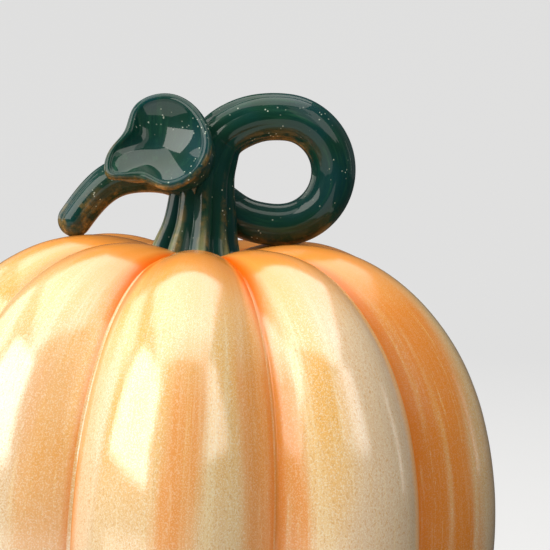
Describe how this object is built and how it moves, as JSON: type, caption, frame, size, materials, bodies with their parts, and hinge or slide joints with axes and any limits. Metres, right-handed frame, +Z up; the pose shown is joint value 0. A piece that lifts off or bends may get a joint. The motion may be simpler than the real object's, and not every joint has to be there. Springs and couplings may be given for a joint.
{
  "type": "ceramic pumpkin figure",
  "caption": "Hollow ribbed ceramic pumpkin with a curled vine stem, a cupped leaf and a drooping branch, standing on felt pads.",
  "frame": {"origin": "on the surface the figure stands on, below the middle of its body", "axes": "+Z up, -Y towards the front (the side with the leaf), +X to the right (the side with the loop)"},
  "size_m": [0.2307, 0.2307, 0.2609],
  "materials": {
    "pumpkin_glaze": "glossy pearl glaze, cream and peach with orange pooled in the grooves and a fine gold speckle",
    "stem_glaze": "glossy dark teal-green glaze that breaks to bronze on ribs and rims",
    "felt": "short pressed felt"
  },
  "bodies": {
    "root": {"body_shell": "pumpkin_glaze", "stem_trunk": "stem_glaze", "stem_loop": "stem_glaze", "stem_branch": "stem_glaze", "stem_leaf": "stem_glaze", "felt_pad_front_left": "felt", "felt_pad_front_right": "felt", "felt_pad_back_right": "felt", "felt_pad_back_left": "felt"}
  },
  "joints": []
}
